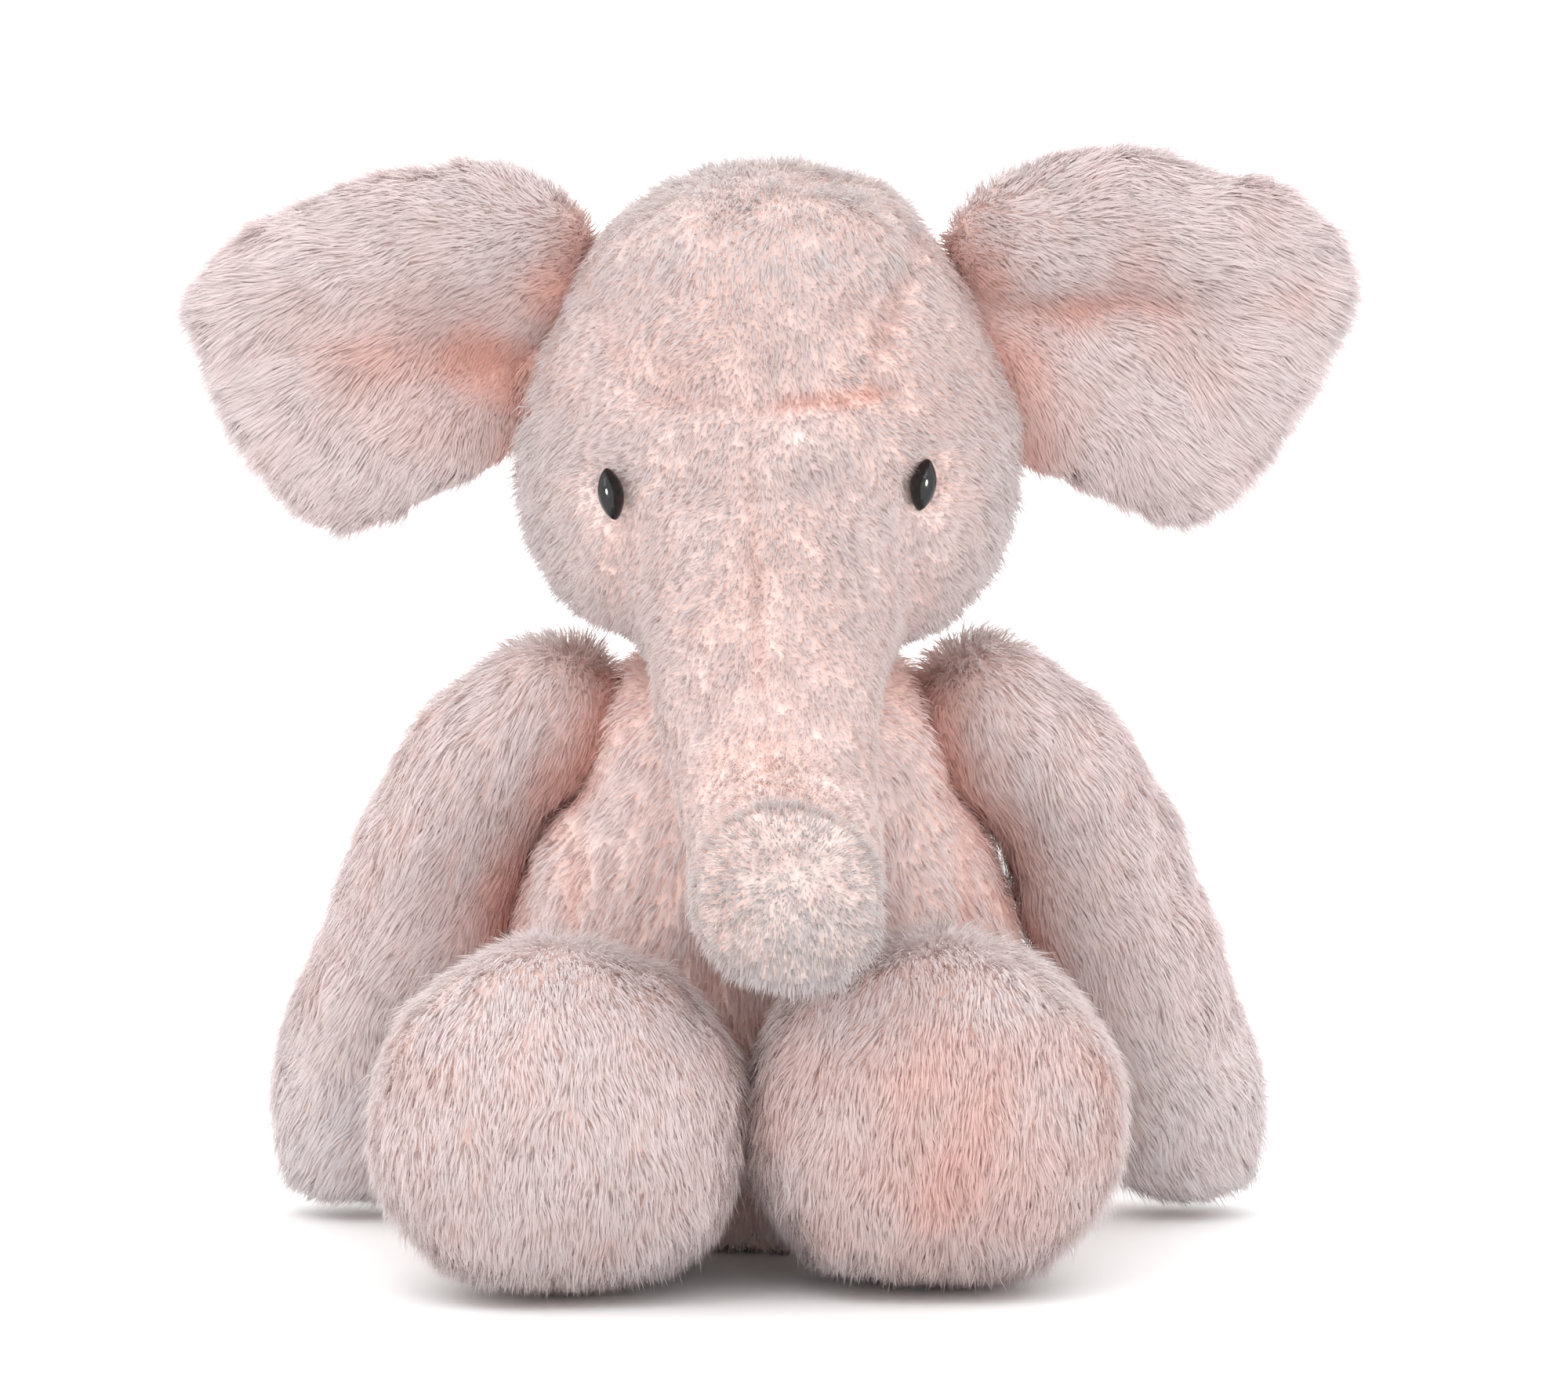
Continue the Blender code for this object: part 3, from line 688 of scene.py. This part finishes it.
def coat_face(coat, eyes):
    """Short pile combed down the face and along the trunk, longer on the cheeks and the crown."""
    x, y, z = coat.co.T
    start = rows_of(TRUNK_BLEND_START)
    way = rows_of(TRUNK_BLEND_END) - start
    trunk = smoothstep(0.2, 1.6, (coat.co - start) @ way / (way @ way))
    cheek = smoothstep(36 * MM, 50 * MM, abs(x)) * smoothstep(200 * MM, 180 * MM, z)
    crown = smoothstep(205 * MM, 225 * MM, z)
    coat.length = (4.4 - 0.9 * trunk + 2.2 * cheek + 1.0 * crown) * MM
    parting = np.where(y < -12 * MM, -0.6, 0.6) * crown
    down = np.stack([x * 14, 0.1 + parting, np.full(len(x), -0.55)], axis=1)
    coat.comb = down * (1 - trunk[:, None]) + np.array([0, -0.35, -0.8]) * trunk[:, None]
    coat.lift[:] = 0.55
    coat.pale = 0.45 * cheek + 0.6 * crown
    sew_face(coat)
    # A faint peach painted glow on the front of the forehead, around the brow.
    painted_glow = bump(z - 198 * MM, 12 * MM) * (coat.normal[:, 1] < 0)
    painted_glow = painted_glow * smoothstep(40 * MM, 20 * MM, abs(x))
    coat.tint = np.maximum(coat.tint, 0.15 * painted_glow)
    for eye in eyes:
        dent_eye(coat, eye)
    coat_trunk_tip(coat)


def sew_face(coat):
    """The brow's crease and the seams between the face's panels."""
    coat.groove(bump(coat.front_distance(BROW), 3.0 * MM), 1.2 * MM, 0.35, 0.25)
    # A peach line along the brow's crease: painted shade.
    painted_shade = coat.front_distance(BROW_PAINTED_SHADE)
    coat.tint = np.maximum(coat.tint, 0.9 * bump(painted_shade, 2.6 * MM))
    coat.groove(bump(coat.front_distance(MIDDLE_SEAM), 1.8 * MM), 0.6 * MM, 0.35, 0.15)
    coat.groove(bump(coat.front_distance(RIGHT_GUSSET_SEAM), 3.4 * MM), 1.5 * MM, 0.35, 0.15)
    coat.groove(bump(coat.front_distance(LEFT_GUSSET_SEAM), 3.0 * MM), 0.7 * MM, 0.2, 0.1)
    for side in (-1, 1):
        edge = coat.front_distance(mirrored(TRUNK_EDGE, side))
        coat.groove(bump(edge, 3.4 * MM), 1.7 * MM, 0.12, 0.25)


def dent_eye(coat, eye):
    """A dent that an eye sits in, deeper on its outer side, with the pile lying away from it and painted shade
    beside it.
    """
    side = np.sign(eye[0])
    distance = np.linalg.norm(coat.co - eye, axis=1)
    near = bump(distance, 9 * MM)
    coat.push(-1.6 * MM * bump(distance, 6 * MM))
    hollow = rows_of(eye) + (side * 5 * MM, 0, 1 * MM)
    coat.push(-2.4 * MM * bump(np.linalg.norm(coat.co - hollow, axis=1), 8 * MM))
    away = unit(coat.co - eye) * near[:, None] * 1.6
    coat.comb += away + np.array([side * 0.9, 0, 0]) * near[:, None]
    coat.length = coat.length * (1 - 0.62 * bump(distance, 6.5 * MM))
    # Painted shade on the eye's outer side: a little peach, and none of the cheek's paleness.
    painted_eye_shade = near * smoothstep(0, 6 * MM, side * (coat.co[:, 0] - eye[0]))
    coat.tint = np.maximum(coat.tint, 0.15 * painted_eye_shade)
    coat.pale = coat.pale * (1 - painted_eye_shade)


def coat_trunk_tip(coat):
    """The trunk's round end: pale pile that stands up, with a fuller rim around it."""
    _, y, z = coat.co.T
    low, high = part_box("trunk_tip_disc")
    tip = smoothstep(high[1] + 2 * MM, high[1] - 3 * MM, y) * (z < high[2] + 6 * MM)
    coat.pale = np.maximum(coat.pale, tip)
    coat.tint = coat.tint * (1 - tip)
    rim = bump(y - high[1], 3.5 * MM) * tip
    centre = (rows_of(low) + rows_of(high)) / 2
    outward = unit((coat.co - centre) * (1, 0.15, 1))
    coat.comb = coat.comb * (1 - 0.6 * tip[:, None]) + outward * rim[:, None] * 0.8
    coat.length = coat.length + 0.4 * MM * tip + 0.8 * MM * rim
    coat.lift = coat.lift + 0.5 * tip
    coat.push(1.1 * MM * rim)


def coat_ear(coat, side):
    """Combed from the root to the rim, with a deep fold at the left root and a soft one at the right."""
    root = joints[f"{side}_ear_flap"]
    out = -1 if side == "left" else 1
    far = out * (coat.co[:, 0] - root[0])
    rim = 1 - abs(coat.normal[:, 1])
    coat.push(-2.6 * MM * smoothstep(0.5, 1.0, rim) * smoothstep(8 * MM, 30 * MM, far))
    coat.length = (6.5 + 3.0 * smoothstep(10 * MM, 60 * MM, far)) * MM
    coat.lift = 0.5 + 0.35 * smoothstep(0.4, 0.9, rim)
    coat.comb = away_from(coat, root / MM - (out * 14, 0, -8)) + np.array([0, 0, -0.35])
    coat.comb += np.array([0, -0.2, 0]) * rim[:, None]
    if side == "left":
        fold = coat.front_distance(LEFT_EAR_FOLD)
        # The fold's peach, in it and in a wide band around it, is painted shade.
        coat.groove(bump(fold, 11 * MM) * smoothstep(42 * MM, 8 * MM, far), 7.0 * MM, 1.0, 0.45)
        coat.tint = np.maximum(coat.tint, 0.45 * bump(fold, 20 * MM))
        coat.push(2.2 * MM * bump(coat.front_distance(LEFT_EAR_SWELL), 12 * MM))
    else:
        fold = coat.front_distance(RIGHT_EAR_FOLD)
        # The fold's peach, in it and around it, is painted shade.
        coat.groove(bump(fold, 6 * MM) * smoothstep(62 * MM, 26 * MM, far), 3.6 * MM, 0.6, 0.25)
        coat.tint = np.maximum(coat.tint, 0.25 * bump(fold, 16 * MM))
        coat.push(3.0 * MM * bump(coat.front_distance(RIGHT_EAR_UPPER_SWELL), 13 * MM))
        coat.push(2.4 * MM * bump(coat.front_distance(RIGHT_EAR_LOWER_SWELL), 14 * MM))


def coat_arm(coat, side):
    """Long pile combed down and outwards, paler on the hand and, as painted light, where it faces up, and peach as
    painted shade on its inner side.
    """
    z = coat.co[:, 2]
    out = -1 if side == "left" else 1
    coat.length[:] = 8.0 * MM
    coat.comb = np.tile([out * 0.5, 0.0, -0.85], (len(z), 1))
    coat.lift[:] = 0.5
    inner = smoothstep(-0.2, -0.9, coat.normal[:, 0] * out)
    coat.push(1.6 * MM * inner * bump(z - 88 * MM, 22 * MM))
    # Peach on the inner side, towards the torso: painted shade.
    coat.tint = 0.3 * inner
    # Paler where it faces up: painted light from above.
    painted_top_light = smoothstep(0.2, 0.9, coat.normal[:, 2])
    hand = smoothstep(75 * MM, 25 * MM, z)
    coat.pale = 0.25 * painted_top_light + 0.6 * hand


def coat_leg(coat, side):
    """Pile that spreads over the foot from behind it, with painted shade on the sole's front, the trunk's painted
    shadow on the right one.
    """
    sole_low, sole_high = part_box(f"{side}_foot_sole")
    centre = (rows_of(sole_low) + rows_of(sole_high)) / 2
    out = -1 if side == "left" else 1
    painted_shade = {"left": 0.08, "right": 0.5}[side]
    coat.length[:] = 7.5 * MM
    behind = centre / MM + (0, 34, 34)
    coat.comb = away_from(coat, behind, 24 * MM) + np.array([0, -0.25, -0.25])
    # Paler where it faces up: painted light from above.
    coat.pale = 0.5 * smoothstep(0.2, 0.9, coat.normal[:, 2])
    coat.lift[:] = 0.55
    inner = smoothstep(0.2, 0.9, -out * coat.normal[:, 0]) * (coat.co[:, 1] < -50 * MM)
    coat.push(2.4 * MM * inner)
    # Peach on the front of the sole: painted shade, the trunk's painted shadow on the right foot.
    middle = bump(np.linalg.norm((coat.co - centre) * (1, 0.3, 1), axis=1), 36 * MM)
    coat.tint = painted_shade * middle * (coat.normal[:, 1] < -0.3)


def coat_tail(coat):
    """Short pile combed back and down."""
    coat.length[:] = 5 * MM
    coat.comb = np.tile([0.0, 0.8, -0.5], (len(coat.co), 1))


def eye_centre(side):
    """The middle of the bead's dome, from the box of the bead and its shank."""
    low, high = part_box(f"{side}_eye")
    radius = EYE_FRAME_RADIUS
    x = low[0] + radius if side == "left" else high[0] - radius
    return rows_of((x, low[1] + radius, (low[2] + high[2]) / 2))


def make_eye(side, material):
    """An almond bead: a dome pointed at its top and bottom, set a little aslant."""
    out = -1 if side == "left" else 1
    bm = bmesh.new()
    bmesh.ops.create_uvsphere(bm, u_segments=40, v_segments=28, radius=1)
    for vert in bm.verts:
        narrow = 1 - EYE_TAPER * vert.co.y**2
        vert.co.x *= EYE_HALF_WIDTH * narrow
        vert.co.y *= EYE_HALF_HEIGHT
        vert.co.z *= EYE_DOME * narrow
    look = Vector((out * EYE_LOOKS[0], EYE_LOOKS[1], EYE_LOOKS[2]))
    turn = look.to_track_quat("Z", "Y").to_matrix().to_4x4()
    lean = Matrix.Rotation(math.radians(-out * EYE_LEAN), 4, "Z")
    bm.transform(Matrix.Translation(eye_centre(side)) @ turn @ lean)
    mesh = bpy.data.meshes.new(f"{side}_eye_bead")
    bm.to_mesh(mesh)
    bm.free()
    mesh.shade_smooth()
    return link(mesh.name, mesh, material)


def cover(pieces, body):
    """Makes pieces move with a body; the face's pieces only keep their place."""
    for piece in pieces:
        if body == "face":
            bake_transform(piece)
        else:
            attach(piece, body)


# ---------------------------------------------------------------- the toy

backing = backing_material()
long_pile = pile_material("long_pile", 1.0)
# The face's pile: the same fibres, darkened as painted shade.
short_pile = pile_material("short_pile", FACE_PAINTED_SHADE)
bead = bead_material()

covers = {"face": bodies["head"] + bodies["trunk"]}
for body, nodes in bodies.items():
    if body not in ("head", "trunk"):
        covers[body] = nodes
skins = {}
for body, nodes in covers.items():
    soft = [node for node in nodes if "eye" not in node]
    lumps = NOSE_LUMPS if body == "face" else []
    voxel = TAIL_VOXEL if body == "tail" else VOXEL
    skins[body] = make_skin(f"{body}_skin", soft, lumps, voxel, backing)
coats = {body: Coat(skin) for body, skin in skins.items()}
for body, coat in coats.items():
    coat.push(SKIN_WOBBLE * waves(coat.co, SKIN_WOBBLE_SIZE, 7))

coat_torso(coats["torso"])
coat_face(coats["face"], [eye_centre("left"), eye_centre("right")])
coat_tail(coats["tail"])
for side in ("left", "right"):
    coat_ear(coats[f"{side}_ear"], side)
    coat_arm(coats[f"{side}_arm"], side)
    coat_leg(coats[f"{side}_leg"], side)
trees = {body: tree_of(skin) for body, skin in skins.items()}

meets = [("face", "torso"), ("torso", "tail")]
for side in ("left", "right"):
    meets += [("face", f"{side}_ear"), ("torso", f"{side}_arm"), ("torso", f"{side}_leg")]
for first, second in meets:
    coats[first].meet(trees[second])
    coats[second].meet(trees[first])

for index, (body, nodes) in enumerate(covers.items()):
    count, width, clump = PILES[body]
    coats[body].settle_on_floor()
    fibre = short_pile if body == "face" else long_pile
    name = f"{body}_pile"
    piles = grow_pile(name, coats[body], count, width * MM, fibre, 10 * index, clump * MM)
    cover([skins[body], *piles], body)
    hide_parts(*(node for node in nodes if not node.endswith("_eye")))
for side in ("left", "right"):
    eye = make_eye(side, bead)
    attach(eye, "head")
    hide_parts(f"{side}_eye")


# ---------------------------------------------------------------- stage


def add_camera():
    data = bpy.data.cameras.new("camera")
    data.lens = CAMERA_LENS
    camera = bpy.data.objects.new("camera", data)
    bpy.context.scene.collection.objects.link(camera)
    back = Vector((0, -math.cos(CAMERA_UP), math.sin(CAMERA_UP)))
    camera.location = Vector(LOOK_AT) + back * CAMERA_AWAY
    camera.rotation_euler = (math.pi / 2 - CAMERA_UP, 0, 0)
    bpy.context.scene.camera = camera


def add_area(name, place, size, power):
    data = bpy.data.lights.new(name, "AREA")
    data.shape = "DISK"
    data.size = size
    data.energy = power
    light = bpy.data.objects.new(name, data)
    bpy.context.scene.collection.objects.link(light)
    light.location = place
    aim = Vector(LIGHTS_AIM) - Vector(place)
    light.rotation_euler = aim.to_track_quat("-Z", "Y").to_euler()
    return light


def add_stage():
    """A white floor and sky with soft lights, shown without a film curve, so that white stays white."""
    bpy.context.scene.view_settings.view_transform = "Standard"
    world = bpy.data.worlds.new("studio")
    world.use_nodes = True
    sky = world.node_tree.nodes["Background"]
    sky.inputs["Color"].default_value = (1.0, 1.0, 1.0, 1)
    sky.inputs["Strength"].default_value = SKY_STRENGTH
    bpy.context.scene.world = world
    bm = bmesh.new()
    bmesh.ops.create_grid(bm, x_segments=1, y_segments=1, size=FLOOR_HALF_SIZE)
    mesh = bpy.data.meshes.new("floor")
    bm.to_mesh(mesh)
    bm.free()
    link("floor", mesh, floor_material())
    lights = {name: add_area(name, *facts) for name, facts in LIGHTS.items()}
    lights["catch_light"].visible_diffuse = False  # it only makes the eyes glint
    lights["catch_light"].visible_transmission = False


add_camera()
add_stage()
